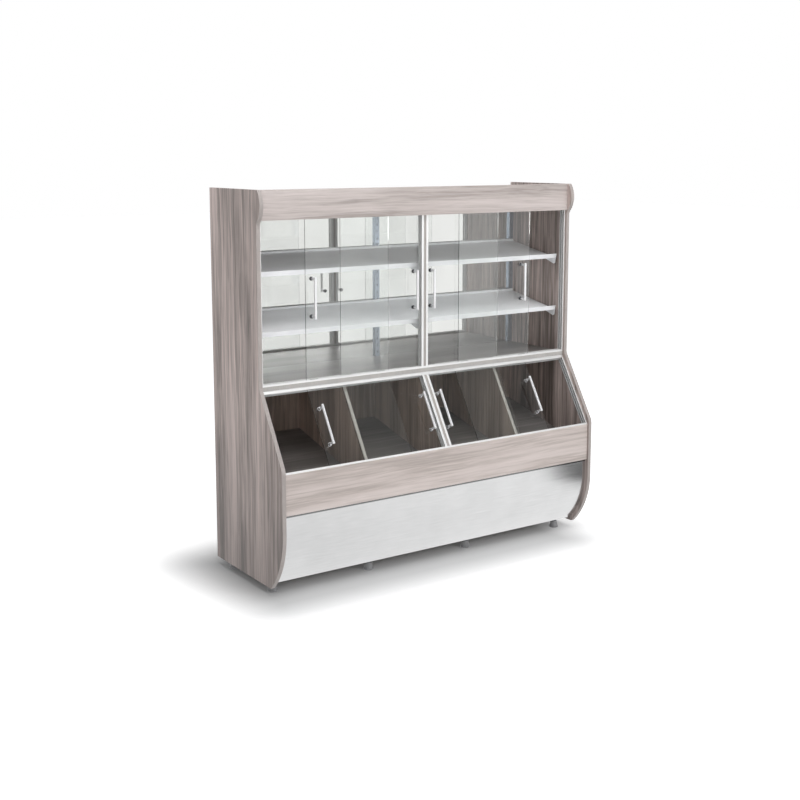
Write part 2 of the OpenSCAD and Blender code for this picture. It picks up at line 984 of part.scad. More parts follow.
// A round bar on two footed posts, each held by a screw through the glass
module door_handle(upper, right, outer) {
    zs = post_heights(upper);
    x = handle_x(upper, right, outer);
    z0 = zs[0] - post_in;
    color(aluminium)
        on_door(upper, right, outer) {
            translate([x, -bar_out, z0])
                cylinder(d = handle_d, h = handle_len);
            for (z = zs) {
                translate([x, -bar_out, z])
                    rotate([-90, 0, 0])
                        cylinder(d = post_d, h = bar_out - post_foot_t / 2);
                translate([x, -post_foot_t, z])
                    rotate([-90, 0, 0])
                        cylinder(d = post_foot_d, h = post_foot_t);
                translate([x, -post_foot_t / 2, z])
                    rotate([-90, 0, 0])
                        cylinder(d = handle_screw_d, h = glass_t + post_foot_t);
                translate([x, glass_t, z])
                    rotate([-90, 0, 0])
                        cylinder(d = screw_head_d, h = screw_head_t);
            }
        }
}

// Four nylon shoes that hold a door's glass in its tracks, two below and two above
module door_shoes(upper, right, outer) {
    shoe_w = groove_w - 2 * door_gap;
    glass_low = door_bottom(upper);
    glass_high = glass_low + glass_h(upper);
    color([0.25, 0.26, 0.27])
        on_door(upper, right, outer)
            for (s = [-1, 1]) {
                x0 = s * (door_w / 2 - shoe_len) - shoe_len / 2;
                y0 = (glass_t - shoe_w) / 2;
                difference() {
                    translate([x0, y0, glass_low - shoe_floor])
                        cube([shoe_len, shoe_w, shoe_h]);
                    translate([x0 - 1, 0, glass_low])
                        cube([shoe_len + 2, glass_t, shoe_h]);
                }
                difference() {
                    translate([x0, y0, glass_high + shoe_roof - shoe_top_h])
                        cube([shoe_len, shoe_w, shoe_top_h]);
                    translate([x0 - 1, 0, glass_high - shoe_top_h])
                        cube([shoe_len + 2, glass_t, shoe_top_h]);
                }
            }
}

left_side_panel();
right_side_panel();
panel_edge_bands();
top_board();
header_board();
rear_board();
back_mirror();
deck_board();
deck_edge_cap();
transom_rail();
left_divider();
centre_divider();
right_divider();
divider_edge_trims();
bin_floor();
bin_floor_cleats();
lower_front_board();
front_support_rail();
kick_sheet();
base_board();
shelf_standards();
upper_shelf();
middle_shelf();
upper_shelf_brackets();
middle_shelf_brackets();
upper_top_track();
upper_bottom_track();
upper_jambs();
upper_mullion();
lower_top_track();
lower_bottom_track();
lower_jambs();
lower_mullion();
levelling_feet();
foot_plates();
rear_screws();
door_glass(true, false, true);  // upper_left_outer_glass
door_handle(true, false, true);  // upper_left_outer_handle
door_shoes(true, false, true);  // upper_left_outer_shoes
door_glass(true, false, false);  // upper_left_inner_glass
door_handle(true, false, false);  // upper_left_inner_handle
door_shoes(true, false, false);  // upper_left_inner_shoes
door_glass(true, true, false);  // upper_right_inner_glass
door_handle(true, true, false);  // upper_right_inner_handle
door_shoes(true, true, false);  // upper_right_inner_shoes
door_glass(true, true, true);  // upper_right_outer_glass
door_handle(true, true, true);  // upper_right_outer_handle
door_shoes(true, true, true);  // upper_right_outer_shoes
door_glass(false, false, true);  // lower_left_outer_glass
door_handle(false, false, true);  // lower_left_outer_handle
door_shoes(false, false, true);  // lower_left_outer_shoes
door_glass(false, false, false);  // lower_left_inner_glass
door_handle(false, false, false);  // lower_left_inner_handle
door_shoes(false, false, false);  // lower_left_inner_shoes
door_glass(false, true, false);  // lower_right_inner_glass
door_handle(false, true, false);  // lower_right_inner_handle
door_shoes(false, true, false);  // lower_right_inner_shoes
door_glass(false, true, true);  // lower_right_outer_glass
door_handle(false, true, true);  // lower_right_outer_handle
door_shoes(false, true, true);  // lower_right_outer_shoes
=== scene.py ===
"""Dresses the bread cabinet: materials, finely shaped pieces, studio and camera.

Lengths are in metres. X runs to the right along the front, Y to the rear and Z up.
"""

import math

import bmesh
import bpy
from mathutils import Matrix, Vector


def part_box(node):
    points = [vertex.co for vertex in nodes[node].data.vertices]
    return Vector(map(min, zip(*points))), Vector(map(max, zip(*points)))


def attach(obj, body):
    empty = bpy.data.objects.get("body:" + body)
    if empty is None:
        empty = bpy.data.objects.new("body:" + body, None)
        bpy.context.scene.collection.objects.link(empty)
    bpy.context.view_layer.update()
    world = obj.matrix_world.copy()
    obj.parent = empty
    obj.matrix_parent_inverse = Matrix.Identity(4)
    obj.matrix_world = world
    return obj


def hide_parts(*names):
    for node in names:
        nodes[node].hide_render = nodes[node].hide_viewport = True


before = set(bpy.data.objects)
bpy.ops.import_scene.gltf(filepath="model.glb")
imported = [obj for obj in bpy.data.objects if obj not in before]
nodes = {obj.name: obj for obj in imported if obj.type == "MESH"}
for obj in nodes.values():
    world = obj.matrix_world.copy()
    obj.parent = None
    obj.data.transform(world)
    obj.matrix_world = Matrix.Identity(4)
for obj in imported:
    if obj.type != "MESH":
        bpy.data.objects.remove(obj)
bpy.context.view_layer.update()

# The camera, fitted to the photograph's outlines; angles in degrees
CAMERA_PLACE = (-3.2595, -4.6709, 1.9104)
CAMERA_LENS = 54.53
CAMERA_SHIFT = -0.0904
CAMERA_DIP = 8.285
CAMERA_TURN = -34.384

# Measures of the solids; depths run forward from the cabinet's rear
REAR_Y = 0.318
BELLY_DEPTH = 0.636
TOP_DEPTH = 0.442
SLOPE_TOP = 0.899
SLOPE_LOW = 0.580
DECK_HEIGHT = 0.904
DECK_MIDDLE = 0.8965
SILL_HEIGHT = 0.560
UPRIGHT_FRAME_DEPTH = 0.431
SLOPING_FRAME_INSET = 0.019
GLASS_THICKNESS = 0.004

# The sloping frame leans back along the side panels' slope, from its sill upward
LEAN = math.atan2(BELLY_DEPTH - TOP_DEPTH, SLOPE_TOP - SLOPE_LOW)
SILL_DEPTH = (
    TOP_DEPTH
    + (SLOPE_TOP - SILL_HEIGHT) * math.tan(LEAN)
    - SLOPING_FRAME_INSET / math.cos(LEAN)
)

# The faces of the two door frames: X across, Y into the cabinet, Z up the frame
UPRIGHT_FRAME = Matrix.Translation((0.0, REAR_Y - UPRIGHT_FRAME_DEPTH, DECK_HEIGHT))
SLOPING_FRAME = Matrix.Translation(
    (0.0, REAR_Y - SILL_DEPTH, SILL_HEIGHT)
) @ Matrix.Rotation(-LEAN, 4, "X")

# The lined part of the frames' grooves, 0.2 mm inside the walls of each; its dark
# colour is also painted shade
GROOVE_START = 0.0022
GROOVE_WIDTH = 0.0096
GROOVE_PITCH = 0.016

# Doors: each row's frame and its handles' height up it, and each track's glass face
DOORS = [name.removesuffix("_glass") for name in nodes if name.endswith("_glass")]
ROWS = {"upper": (UPRIGHT_FRAME, 0.373), "lower": (SLOPING_FRAME, 0.187)}
GLASS_FACE = {"outer": 0.005, "inner": 0.005 + GROOVE_PITCH}

# Door handles; turned shapes are pairs of a radius and a height along their axis
BAR_OUT = 0.038
POST_OFFSETS = (-0.0835, 0.0835)
BAR_END = ((0.0, 0.0925), (0.0045, 0.0925), (0.0054, 0.0921), (0.0060, 0.0912))
POST_NECK = ((0.0, 0.010), (0.0045, 0.010), (0.0045, 0.0335), (0.0, 0.0335))
POST_BARREL = (
    (0.0, 0.0001),
    (0.0090, 0.0001),
    (0.0090, 0.0022),
    (0.0084, 0.0030),
    (0.0076, 0.0033),
    (0.0074, 0.0042),
    (0.0074, 0.0112),
    (0.0068, 0.0125),
    (0.0050, 0.0130),
    (0.0, 0.0130),
)
POST_NUT = (
    (0.0, 0.0001),
    (0.0060, 0.0001),
    (0.0060, 0.0011),
    (0.0053, 0.0019),
    (0.0032, 0.0024),
    (0.0, 0.0025),
)
POST_SCREW = ((0.0, -0.0002), (0.0030, -0.0002), (0.0030, 0.0042), (0.0, 0.0042))

# Levelling feet: body, threaded stud and lock nut
FOOT_PLACES = [
    (x, REAR_Y - depth)
    for x in (-0.842, -0.33968, 0.22176, 0.793)
    for depth in (0.464, 0.097)
]
FOOT_PROFILE = (
    (0.0, 0.0),
    (0.0205, 0.0),
    (0.0220, 0.0009),
    (0.0225, 0.0028),
    (0.0225, 0.0070),
    (0.0218, 0.0084),
    (0.0204, 0.0092),
    (0.0200, 0.0110),
    (0.0178, 0.0230),
    (0.0170, 0.0275),
    (0.0166, 0.0290),
    (0.0158, 0.0298),
    (0.0157, 0.0325),
    (0.0148, 0.0338),
    (0.0058, 0.0340),
    (0.0056, 0.0330),
    (0.0, 0.0330),
)
FOOT_STEPS = 48
FLUTE_LOW, FLUTE_HIGH = 0.0105, 0.0280
FLUTE_SHARE = 0.93
STUD_RADIUS = 0.0050
THREAD_ROOT = 0.0043
THREAD_START = 0.0338
THREAD_PITCH = 0.0015
THREAD_TURNS = 22
STUD_FOOT = 0.0332
STUD_TOP = 0.0690
NUT_RADIUS = 0.0092
NUT_THICKNESS = 0.0055
NUT_HEIGHT = 0.0470
NUT_EASE = 0.0008

# Rear screws, in five columns
SCREW_PITCH = 0.401
SCREW_X = [SCREW_PITCH * i for i in (-2, -1, 0, 1, 2)]
SCREW_SHANK = ((0.0, 0.0), (0.0020, 0.0), (0.0020, 0.0215), (0.0, 0.0235))
HEAD_RADIUS = 0.0040
HEAD_TOP_RADIUS = 0.0034
HEAD_THICKNESS = 0.0024
HEAD_SET_IN = 0.0001
CROSS_REACH = 0.0023
CROSS_WAIST = 0.0009
CROSS_DEPTH = 0.0010
CROSS_ARM_HALF_ANGLE = 0.30
RECESS_RIM = 0.0009

# Directions, and the axes along which grain and brushed lines run
ALONG_X, ALONG_Y, ALONG_Z = 0, 1, 2
RIGHT = Vector((1, 0, 0))
REARWARD = Vector((0, 1, 0))
FORWARD = Vector((0, -1, 0))
UP = Vector((0, 0, 1))

# Colours and measures of the finishes
WHITE = (1.0, 1.0, 1.0)
ANODISED = (0.77, 0.77, 0.765)
ANODISED_ROUGHNESS = 0.42
BOARD_EDGE = (0.40, 0.370, 0.352)
BOARD_EDGE_HALF = 0.0066
BANDING_STRETCH = (60, 60, 3)
GRAIN_STOPS = (0.40, 0.46, 0.50, 0.54, 0.60)
# Height above which the kick sheet gets a painted shade line
KICK_SHADE_HEIGHT = 0.370
HANDLE_LINES = 500.0

# The studio: the floor's colour by the cabinet, painted darker there as shadow, and
# far off, and strengths of light
NEAR_FLOOR = 0.62
FAR_FLOOR = 0.88
SHADED_SHIFT = (0.09, 0, 0)
SHADED_HALF_SIZE = (0.79, 0.31, 0)
SHADOW_REACH = 0.34
FAR_GLOW = 0.62
GLOW_CURVE = 1.3
WORLD_LIGHT = 0.46
CEILING_DIM = 0.72
FLOOR_HALF_SIZE = 30.0


def add_object(name, data):
    """A new object in the scene, at the origin."""
    item = bpy.data.objects.new(name, data)
    bpy.context.scene.collection.objects.link(item)
    return item


def make_camera():
    """The photograph's viewpoint, left of the cabinet at standing height."""
    data = bpy.data.cameras.new("camera")
    data.sensor_width = 36.0
    data.lens = CAMERA_LENS
    data.shift_y = CAMERA_SHIFT
    camera = add_object("camera", data)
    camera.location = CAMERA_PLACE
    camera.rotation_euler = (
        math.radians(90 - CAMERA_DIP),
        0,
        math.radians(CAMERA_TURN),
    )
    bpy.context.scene.camera = camera


def principled(tree, roughness, metallic=0.0):
    """A Principled shader."""
    shader = tree.nodes.new("ShaderNodeBsdfPrincipled")
    shader.inputs["Roughness"].default_value = roughness
    shader.inputs["Metallic"].default_value = metallic
    return shader


def new_material(name, roughness, metallic=0.0):
    """A material with one Principled shader; returns it, its tree and the shader."""
    material = bpy.data.materials.new(name)
    material.use_nodes = True
    tree = material.node_tree
    tree.nodes.clear()
    output = tree.nodes.new("ShaderNodeOutputMaterial")
    shader = principled(tree, roughness, metallic)
    tree.links.new(shader.outputs["BSDF"], output.inputs["Surface"])
    return material, tree, shader


def find_node(tree, kind):
    """The first node of a kind in a tree."""
    return next(node for node in tree.nodes if node.type == kind)


def object_place(tree, scale=(1, 1, 1), shift=(0, 0, 0)):
    """Object coordinates, stretched by scale and moved by shift."""
    place = tree.nodes.new("ShaderNodeTexCoord")
    mapping = tree.nodes.new("ShaderNodeMapping")
    mapping.inputs["Scale"].default_value = scale
    mapping.inputs["Location"].default_value = shift
    tree.links.new(place.outputs["Object"], mapping.inputs["Vector"])
    return mapping.outputs["Vector"]


def split(tree, vector):
    """The X, Y and Z of a vector."""
    parts = tree.nodes.new("ShaderNodeSeparateXYZ")
    tree.links.new(vector, parts.inputs["Vector"])
    return parts.outputs


def stretched(along, scale, rest=1.0):
    """A value for each axis: scale for one of them and rest for the others."""
    return [scale if axis == along else rest for axis in range(3)]


def cloud(tree, place, scale, detail, roughness, distortion=0.0):
    """The value of a noise texture read at place."""
    noise = tree.nodes.new("ShaderNodeTexNoise")
    noise.inputs["Scale"].default_value = scale
    noise.inputs["Detail"].default_value = detail
    noise.inputs["Roughness"].default_value = roughness
    noise.inputs["Distortion"].default_value = distortion
    tree.links.new(place, noise.inputs["Vector"])
    return noise.outputs["Fac"]


def mottle(tree, scale, detail, roughness=0.5, stretch=(1, 1, 1), distortion=0.0):
    """Noise over the object's own coordinates, which are stretched first."""
    place = object_place(tree, stretch)
    return cloud(tree, place, scale, detail, roughness, distortion)


def spread(tree, value, old, new):
    """A value mapped from one (low, high) range to another and held inside it."""
    node = tree.nodes.new("ShaderNodeMapRange")
    names = ("From Min", "From Max", "To Min", "To Max")
    for name, number in zip(names, (*old, *new)):
        node.inputs[name].default_value = number
    tree.links.new(value, node.inputs["Value"])
    return node.outputs["Result"]


def calc(tree, operation, first, second=0.0):
    """One step of arithmetic on sockets or plain numbers."""
    node = tree.nodes.new("ShaderNodeMath")
    node.operation = operation
    for socket, value in zip(node.inputs, (first, second)):
        if isinstance(value, (int, float)):
            socket.default_value = value
        else:
            tree.links.new(value, socket)
    return node.outputs["Value"]


def blend(tree, *parts):
    """The sum of values, each times its share; parts are (value, share) pairs."""
    weighted = [calc(tree, "MULTIPLY", value, share) for value, share in parts]
    total = weighted[0]
    for value in weighted[1:]:
        total = calc(tree, "ADD", total, value)
    return total


def scaled(tree, vector, factor):
    """A colour or vector times a value."""
    node = tree.nodes.new("ShaderNodeVectorMath")
    node.operation = "SCALE"
    tree.links.new(vector, node.inputs[0])
    tree.links.new(factor, node.inputs["Scale"])
    return node.outputs["Vector"]


def times(colour, factor):
    """A plain colour times a number."""
    return [factor * channel for channel in colour]


def tones(tree, value, stops):
    """A colour ramp over value; stops are (position, colour) pairs."""
    ramp = tree.nodes.new("ShaderNodeValToRGB")
    elements = ramp.color_ramp.elements
    while len(elements) < len(stops):
        elements.new(0.5)
    for element, (position, colour) in zip(elements, stops):
        element.position = position
        element.color = (*colour, 1.0)
    tree.links.new(value, ramp.inputs["Fac"])
    return ramp.outputs["Color"]


def paint(tree, shader, value, stops):
    """Base colour from a colour ramp over value."""
    tree.links.new(tones(tree, value, stops), shader.inputs["Base Color"])


def polish(tree, shader, value, old, new):
    """Roughness from a value mapped from one range to another."""
    tree.links.new(spread(tree, value, old, new), shader.inputs["Roughness"])


def relief(tree, shader, height, strength, distance):
    """Bump on a shader from a height value."""
    bump = tree.nodes.new("ShaderNodeBump")
    bump.inputs["Strength"].default_value = strength
    bump.inputs["Distance"].default_value = distance
    tree.links.new(height, bump.inputs["Height"])
    tree.links.new(bump.outputs["Normal"], shader.inputs["Normal"])


def show(tree, surface):
    """Makes a shader socket the material's or the world's surface."""
    output = next(node for node in tree.nodes if node.type.startswith("OUTPUT"))
    tree.links.new(surface, output.inputs["Surface"])


def mixed_shader(tree, factor, first, second):
    """A mix of two shader sockets: the first at a factor of 0, the second at 1."""
    mix = tree.nodes.new("ShaderNodeMixShader")
    for socket, source in zip(mix.inputs, (factor, first, second)):
        tree.links.new(source, socket)
    return mix.outputs["Shader"]


def white_emission(tree, strength):
    """White light of a strength that comes from a socket."""
    glow = tree.nodes.new("ShaderNodeEmission")
    glow.inputs["Color"].default_value = (*WHITE, 1.0)
    tree.links.new(strength, glow.inputs["Strength"])
    return glow.outputs["Emission"]


def wood_laminate(
    name, along, shades, pitch=1.0, sway=0.030, shift=(0, 0, 0), low_shade=1.0
):
    """Printed wood-grain laminate, whose grain runs along one axis.

    shades are five colours, from the dark streaks to the pale ones. pitch is how close
    the grain lies, sway how far it wanders and shift which part of it the board gets.
    The last argument is how dark the board is near the floor, as painted shade.
    """
    material, tree, shader = new_material(name, 0.42)

    # The grain wanders sideways with a slow noise that is drawn out along it
    waver = tree.nodes.new("ShaderNodeTexNoise")
    waver.inputs["Scale"].default_value = 1.0
    waver_place = object_place(tree, stretched(along, 2.2, 7.0), shift)
    tree.links.new(waver_place, waver.inputs["Vector"])
    swayed = tree.nodes.new("ShaderNodeVectorMath")
    swayed.operation = "MULTIPLY_ADD"
    swayed.inputs[1].default_value = stretched(along, 0.0, sway)
    tree.links.new(waver.outputs["Color"], swayed.inputs[0])
    place = tree.nodes.new("ShaderNodeTexCoord")
    tree.links.new(place.outputs["Object"], swayed.inputs[2])

    def layer(scale, stretch, detail, roughness):
        """Noise drawn out along the grain."""
        mapping = tree.nodes.new("ShaderNodeMapping")
        mapping.inputs["Scale"].default_value = stretched(along, stretch)
        mapping.inputs["Location"].default_value = shift
        tree.links.new(swayed.outputs["Vector"], mapping.inputs["Vector"])
        return cloud(tree, mapping.outputs["Vector"], scale * pitch, detail, roughness)

    bands = layer(scale=8.0, stretch=0.060, detail=2.0, roughness=0.5)
    streaks = layer(scale=62.0, stretch=0.030, detail=3.0, roughness=0.6)
    pores = layer(scale=190.0, stretch=0.022, detail=3.0, roughness=0.65)
    grain = blend(tree, (bands, 0.44), (streaks, 0.36), (pores, 0.20))
    colour = tones(tree, grain, list(zip(GRAIN_STOPS, shades)))

    # Painted shade: the colour grows darker towards the floor
    height = split(tree, object_place(tree))["Z"]
    soil_and_shade = spread(tree, height, (0.15, 0.85), (low_shade, 1.0))
    tree.links.new(scaled(tree, colour, soil_and_shade), shader.inputs["Base Color"])
    polish(tree, shader, streaks, (0.3, 0.7), (0.36, 0.50))
    relief(tree, shader, pores, strength=0.12, distance=0.0003)
    return material


def shade_set(base, lows, highs):
    """Five shades about a base colour, from two darker ones to two paler ones.

    The dark ones are a little warmer than the base and the pale ones a little cooler.
    """
    factors = (*lows, 1.0, *highs)
    tints = (
        (1.0, 0.990, 0.975),
        (1.0, 0.995, 0.985),
        (1.0, 1.0, 1.0),
        (1.0, 1.005, 1.010),
        (1.0, 1.010, 1.020),
    )
    return [
        tuple(b * f * t for b, t in zip(base, tint)) for f, tint in zip(factors, tints)
    ]


def edge_banding(name, colour):
    """Plastic edging in one shade, with a faint grain and handling wear."""
    material, tree, shader = new_material(name, 0.45)
    lines = mottle(tree, scale=6.0, detail=3.0, stretch=BANDING_STRETCH)
    wear = mottle(tree, scale=14.0, detail=4.0, roughness=0.6)
    mixed = blend(tree, (lines, 0.5), (wear, 0.5))
    dark, light = times(colour, 0.86), times(colour, 1.12)
    paint(tree, shader, mixed, [(0.35, dark), (0.52, colour), (0.68, light)])
    polish(tree, shader, wear, (0.3, 0.7), (0.38, 0.55))
    return material


def drawn_metal(
    name, colour, roughness, along, fine=260.0, depth=0.00006, metallic=1.0
):
    """Anodised, plated or brushed metal with fine lines along one axis."""
    material, tree, shader = new_material(name, roughness, metallic)
    brushed = stretched(along, 0.02)
    lines = mottle(tree, scale=fine, detail=3.0, roughness=0.6, stretch=brushed)
    smudge = mottle(tree, scale=5.0, detail=4.0, roughness=0.6)
    mixed = blend(tree, (lines, 0.55), (smudge, 0.45))
    dark, light = times(colour, 0.93), times(colour, 1.05)
    paint(tree, shader, mixed, [(0.35, dark), (0.65, light)])
    polish(tree, shader, mixed, (0.35, 0.65), (roughness * 0.85, roughness * 1.2))
    relief(tree, shader, lines, strength=0.10, distance=depth)
    return material


def shaded_lined_channel(name, place):
    """Anodised posts whose two door grooves are lined with dark pile, dark enough to
    be painted shade as well.
    """
    material = drawn_metal(
        name, ANODISED, ANODISED_ROUGHNESS, ALONG_Z, metallic=0.3
    )
    tree = material.node_tree
    metal = find_node(tree, "BSDF_PRINCIPLED")
    # Dark pile in the grooves, which is also their painted shade
    pile_and_shade = principled(tree, 0.9)
    hairs = mottle(tree, scale=1500.0, detail=2.0, stretch=(1, 1, 0.2))
    dark, light = (0.045, 0.046, 0.045), (0.11, 0.112, 0.11)
    paint(tree, pile_and_shade, hairs, [(0.35, dark), (0.65, light)])

    # Depth behind the first groove's near wall
    inward = place.to_3x3() @ REARWARD
    depth = tree.nodes.new("ShaderNodeVectorMath")
    depth.operation = "DOT_PRODUCT"
    depth.inputs[1].default_value = inward
    tree.links.new(object_place(tree), depth.inputs[0])
    start = inward.dot(place.translation) + GROOVE_START
    into = calc(tree, "SUBTRACT", depth.outputs["Value"], start)

    behind = calc(tree, "GREATER_THAN", into, 0.0)
    before = calc(tree, "LESS_THAN", into, GROOVE_PITCH + GROOVE_WIDTH)
    within = calc(tree, "MULTIPLY", behind, before)
    repeat = calc(tree, "MODULO", into, GROOVE_PITCH)
    groove = calc(tree, "LESS_THAN", repeat, GROOVE_WIDTH)
    lined_and_shaded = calc(tree, "MULTIPLY", within, groove)
    show(tree, mixed_shader(tree, lined_and_shaded, metal.outputs["BSDF"], pile_and_shade.outputs["BSDF"]))
    return material


def channel_pair(name, place):
    """Two lined channels, with painted shade in their grooves, on both sides of a grey
    board edge, seen in the middle.
    """
    material = shaded_lined_channel(name, place)
    tree = material.node_tree
    output = find_node(tree, "OUTPUT_MATERIAL")
    channels = output.inputs["Surface"].links[0].from_socket
    board = principled(tree, 0.45)
    fleck = mottle(tree, scale=6.0, detail=3.0, stretch=BANDING_STRETCH)
    dark = times(BOARD_EDGE, 0.90)
    paint(tree, board, fleck, [(0.35, dark), (0.65, BOARD_EDGE)])
    off_middle = calc(tree, "ABSOLUTE", split(tree, object_place(tree))["X"])
    inside = calc(tree, "LESS_THAN", off_middle, BOARD_EDGE_HALF)
    show(tree, mixed_shader(tree, inside, channels, board.outputs["BSDF"]))
    return material


def kick_sheet_metal(name, colour, roughness):
    """Satin sheet with painted shade along its top, under the board above."""
    material = drawn_metal(
        name, colour, roughness, ALONG_X, fine=420.0, depth=0.00002
    )
    tree = material.node_tree
    shader = find_node(tree, "BSDF_PRINCIPLED")
    plain = shader.inputs["Base Color"].links[0].from_socket
    # Painted shade: a dark line along the sheet's top, under the board's lower edge
    height = split(tree, object_place(tree))["Z"]
    edge = (KICK_SHADE_HEIGHT - 0.002, KICK_SHADE_HEIGHT)
    shade = spread(tree, height, edge, (1.0, 0.32))
    tree.links.new(scaled(tree, plain, shade), shader.inputs["Base Color"])
    return material


def coated_sheet(name, colour, roughness):
    """Powder-coated sheet: a fine orange-peel surface with slight soiling."""
    material, tree, shader = new_material(name, roughness)
    peel = mottle(tree, scale=900.0, detail=1.0)
    soil_and_shade = mottle(tree, scale=4.0, detail=4.0, roughness=0.6, stretch=(1, 2, 2))
    paint(tree, shader, soil_and_shade, [(0.35, times(colour, 0.93)), (0.60, colour)])
    polish(tree, shader, soil_and_shade, (0.3, 0.7), (roughness + 0.08, roughness - 0.04))
    relief(tree, shader, peel, strength=0.15, distance=0.0001)
    return material


def silvered_mirror(name):
    """A float-glass mirror, very slightly warm, with cleaning marks."""
    material, tree, shader = new_material(name, 0.015, 1.0)
    marks = mottle(tree, scale=9.0, detail=5.0, roughness=0.65, stretch=(1, 1, 0.4))
    dark, light = (0.70, 0.70, 0.685), (0.75, 0.75, 0.735)
    paint(tree, shader, marks, [(0.3, dark), (0.7, light)])
    polish(tree, shader, marks, (0.35, 0.75), (0.012, 0.045))
    return material


def door_pane(name):
    """Clear float glass that lets the lamps through, with faint wiping marks."""
    material, tree, shader = new_material(name, 0.01)
    shader.inputs["Base Color"].default_value = (0.975, 0.985, 0.98, 1.0)
    shader.inputs["Transmission Weight"].default_value = 1.0
    shader.inputs["IOR"].default_value = 1.5
    marks = mottle(tree, scale=12.0, detail=5.0, roughness=0.7, stretch=(1, 1, 0.35))
    polish(tree, shader, marks, (0.45, 0.8), (0.004, 0.03))
    clear = tree.nodes.new("ShaderNodeBsdfTransparent")
    clear.inputs["Color"].default_value = (0.965, 0.97, 0.965, 1.0)
    path = tree.nodes.new("ShaderNodeLightPath").outputs
    lit = calc(tree, "MAXIMUM", path["Is Shadow Ray"], path["Is Diffuse Ray"])
    show(tree, mixed_shader(tree, lit, shader.outputs["BSDF"], clear.outputs["BSDF"]))
    return material


def moulded_plastic(name, colour, roughness):
    """Moulded plastic with a fine spark-eroded surface and slight shade variation."""
    material, tree, shader = new_material(name, roughness)
    speck = mottle(tree, scale=1400.0, detail=2.0)
    shade = mottle(tree, scale=30.0, detail=3.0)
    dark, light = times(colour, 0.85), times(colour, 1.10)
    paint(tree, shader, shade, [(0.35, dark), (0.65, light)])
    polish(tree, shader, speck, (0.3, 0.7), (roughness - 0.05, roughness + 0.08))
    relief(tree, shader, speck, strength=0.2, distance=0.0001)
    return material


def softwood(name):
    """Planed pine battens with growth rings along X."""
    material, tree, shader = new_material(name, 0.6)
    rings = mottle(
        tree,
        scale=90.0,
        detail=4.0,
        roughness=0.55,
        stretch=(0.04, 1, 1),
        distortion=0.4,
    )
    fibre = mottle(tree, scale=500.0, detail=2.0, stretch=(0.03, 1, 1))
    dark, middle, light = (0.42, 0.27, 0.13), (0.60, 0.43, 0.24), (0.70, 0.54, 0.33)
    paint(tree, shader, rings, [(0.35, dark), (0.50, middle), (0.66, light)])
    relief(tree, shader, fibre, strength=0.25, distance=0.0004)
    return material


def dress(names, material):
    """Gives CAD nodes one material."""
    for name in names:
        mesh = nodes[name].data
        mesh.materials.clear()
        mesh.materials.append(material)


def turned(shape, profile, centre, axis, steps=32):
    """Spins a profile of (radius, height along the axis) pairs into a closed solid."""
    verts = [shape.verts.new(centre + RIGHT * r + axis * h) for r, h in profile]
    edges = [shape.edges.new(pair) for pair in zip(verts, verts[1:])]
    bmesh.ops.spin(
        shape,
        geom=verts + edges,
        cent=centre,
        axis=axis,
        angle=math.tau,
        steps=steps,
        use_merge=True,
    )


def cone(shape, segments, low_radius, high_radius, depth, matrix):
    """A capped cone or prism about its own Z; returns its vertices."""
    made = bmesh.ops.create_cone(
        shape,
        cap_ends=True,
        segments=segments,
        radius1=low_radius,
        radius2=high_radius,
        depth=depth,
        matrix=matrix,
    )
    return made["verts"]


def soften(shape, edges, width, steps):
    """Takes a width off edges, rounded in so many steps; one step is a chamfer."""
    bmesh.ops.bevel(
        shape,
        geom=edges,
        offset=width,
        offset_type="OFFSET",
        affect="EDGES",
        segments=steps,
        profile=0.5,
        material=-1,
        clamp_overlap=True,
    )


def finish_piece(name, shape, material, body, smooth=30.0):
    """Makes a bmesh a piece of the model: merged, facing outward, on its body.

    Faces that meet at less than smooth degrees are shaded as one; 0 keeps all flat.
    """
    bmesh.ops.remove_doubles(shape, verts=shape.verts, dist=1e-6)
    bmesh.ops.recalc_face_normals(shape, faces=shape.faces)
    mesh = bpy.data.meshes.new(name)
    shape.to_mesh(mesh)
    shape.free()
    mesh.materials.append(material)
    if smooth:
        mesh.polygons.foreach_set("use_smooth", [True] * len(mesh.polygons))
        mesh.set_sharp_from_angle(angle=math.radians(smooth))
    piece = add_object(name, mesh)
    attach(piece, body)
    return piece


def eased_copy(node, width, steps, material, body):
    """A node's shape again with its sharp edges taken off, shown in its place."""
    shape = bmesh.new()
    shape.from_mesh(nodes[node].data)
    bmesh.ops.remove_doubles(shape, verts=shape.verts, dist=1e-5)
    # Only faces that are quite level with each other are joined
    bmesh.ops.dissolve_limit(
        shape, angle_limit=math.radians(0.02), verts=shape.verts, edges=shape.edges
    )
    sharp = [
        edge
        for edge in shape.edges
        if len(edge.link_faces) == 2 and edge.calc_face_angle() > math.radians(25)
    ]
    soften(shape, sharp, width, steps)
    piece = finish_piece("eased_" + node, shape, material, body, smooth=0)
    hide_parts(node)


def handle_seat(door):
    """A door's frame, and in it the X, glass face and middle height of its handle."""
    row, _, track = door.split("_")
    place, middle = ROWS[row]
    low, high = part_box(door + "_handle")
    return place, (low[0] + high[0]) / 2, GLASS_FACE[track], middle


def handle_bar(door, material):
    """A door's round bar with softened ends, and the two necks that carry it."""
    place, x, face, middle = handle_seat(door)
    shape = bmesh.new()
    profile = [(r, -h) for r, h in BAR_END] + [(r, h) for r, h in reversed(BAR_END)]
    turned(shape, profile, Vector((x, face - BAR_OUT, middle)), UP, 40)
    for offset in POST_OFFSETS:
        turned(shape, POST_NECK, Vector((x, face, middle + offset)), FORWARD, 28)
    bmesh.ops.transform(shape, matrix=place, verts=shape.verts)
    bar = finish_piece(door + "_bar", shape, material, door + "_door")
    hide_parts(door + "_handle")


